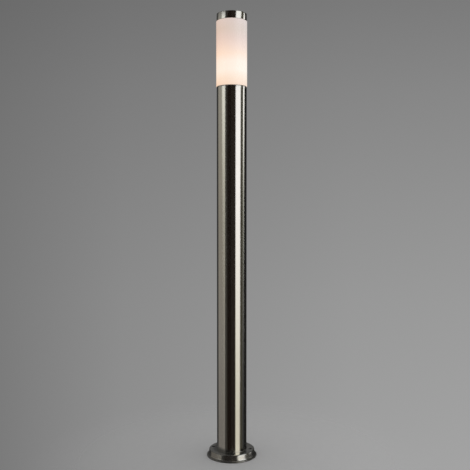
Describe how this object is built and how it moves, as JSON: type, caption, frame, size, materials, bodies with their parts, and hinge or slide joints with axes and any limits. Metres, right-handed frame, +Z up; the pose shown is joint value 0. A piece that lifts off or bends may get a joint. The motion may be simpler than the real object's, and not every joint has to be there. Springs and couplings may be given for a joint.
{
  "type": "bollard light",
  "caption": "Tall round brushed stainless bollard light: flared bolt-down foot, plain post, lit opal cylinder and flat steel cap, with its lampholder, lamp and wiring inside.",
  "frame": {"origin": "centre of the foot's underside, on the ground and on the post's axis", "axes": "+Z up along the post; +X through the two fixing holes; +Y towards the head's clamping screw, which is the back"},
  "size_m": [0.128, 0.128, 1.126],
  "materials": {
    "satin_steel": "stainless sheet and tube, finely brushed round the circumference, nearly mirror-bright",
    "zinc_steel": "zinc-plated sheet steel, dull",
    "screw_steel": "turned and cold-formed stainless fasteners",
    "collar_aluminium": "turned and cast, fine tool lines",
    "opal_plastic": "opal white acrylic, smooth, lit warm from inside",
    "lamp_opal": "opal lamp dome, glowing warm white",
    "lamp_white": "white moulded lamp housing",
    "led_board": "white lacquered circuit board with small emitters",
    "lamp_nickel": "nickel-plated lamp cap and solder contact",
    "lamp_black_glass": "black glass insulator of the lamp cap",
    "black_rubber": "matt black rubber",
    "white_silicone": "translucent white silicone",
    "white_plastic": "white moulded plastic",
    "black_plastic": "black moulded polyamide",
    "porcelain": "white glazed porcelain",
    "brass": "plain and pressed brass",
    "green_screw": "green lacquered steel",
    "wire_brown": "brown insulation",
    "wire_blue": "blue insulation",
    "wire_green_yellow": "green and yellow striped insulation",
    "nylon": "natural nylon"
  },
  "bodies": {
    "post": {"base_flange": "satin_steel", "foot_gasket": "black_rubber", "backing_plate": "zinc_steel", "post_tube": "satin_steel", "lower_ring": "zinc_steel", "entry_plate": "zinc_steel", "entry_screws": "screw_steel", "gland_body": "black_plastic", "gland_seal": "black_rubber", "gland_cap_nut": "black_plastic", "gland_locknut": "black_plastic", "terminal_bracket": "zinc_steel", "bracket_screws": "screw_steel", "terminal_block": "white_plastic", "terminal_inserts": "brass", "terminal_screws": "screw_steel", "wire_live": "wire_brown", "wire_neutral": "wire_blue", "wire_earth": "wire_green_yellow", "earth_lug": "brass", "earth_screw": "green_screw", "upper_ring": "zinc_steel", "holder_plate": "zinc_steel", "plate_screws": "screw_steel", "holder_nipple": "brass", "nipple_nut": "brass", "nipple_washer": "screw_steel", "lampholder_body": "porcelain", "lampholder_shell": "brass", "centre_contact": "brass", "lampholder_terminals": "brass", "clamp_boss": "zinc_steel"},
    "head_seal": {"head_gasket": "black_rubber"},
    "head": {"head_collar": "collar_aluminium", "glass_gasket": "white_silicone", "diffuser": "opal_plastic", "cap_gasket": "white_silicone", "plug_ring": "white_silicone", "plug_disc": "white_plastic", "plug_screw": "screw_steel", "cap_spider": "collar_aluminium", "top_cap": "satin_steel"},
    "lamp_tip": {"lamp_contact": "lamp_nickel", "lamp_insulator": "lamp_black_glass"},
    "lamp": {"lamp_screw_shell": "lamp_nickel", "lamp_housing": "lamp_white", "lamp_led_board": "led_board", "lamp_dome": "lamp_opal"},
    "clamp_tip": {"clamp_screw_tip": "nylon"},
    "clamp": {"clamp_screw": "screw_steel"}
  },
  "joints": [
    {"name": "head_lift", "type": "slide", "parent": "post", "child": "head_seal", "axis": [0, 0, 1], "range_m": [0, 0.16]},
    {"name": "head_turn", "type": "hinge", "parent": "head_seal", "child": "head", "pos_m": [0, 0, 0.9422], "axis": [0, 0, 1], "continuous": true},
    {"name": "lamp_rise", "type": "slide", "parent": "post", "child": "lamp_tip", "axis": [0, 0, 1], "range_m": [0, 0.01089]},
    {"name": "lamp_turn", "type": "hinge", "parent": "lamp_tip", "child": "lamp", "pos_m": [0, 0, 0.9132], "axis": [0, 0, 1], "range_deg": [0, 1080]},
    {"name": "clamp_travel", "type": "slide", "parent": "post", "child": "clamp_tip", "axis": [0, 1, 0], "range_m": [0, 0.003]},
    {"name": "clamp_turn", "type": "hinge", "parent": "clamp_tip", "child": "clamp", "pos_m": [0, 0.0341, 0.9302], "axis": [0, 1, 0], "range_deg": [0, 1350]}
  ],
  "couplings": [
    {"joint": "lamp_rise", "follows": "lamp_turn", "m_per_rad": 0.00057757},
    {"joint": "clamp_turn", "follows": "clamp_travel", "rad_per_m": 7854}
  ]
}
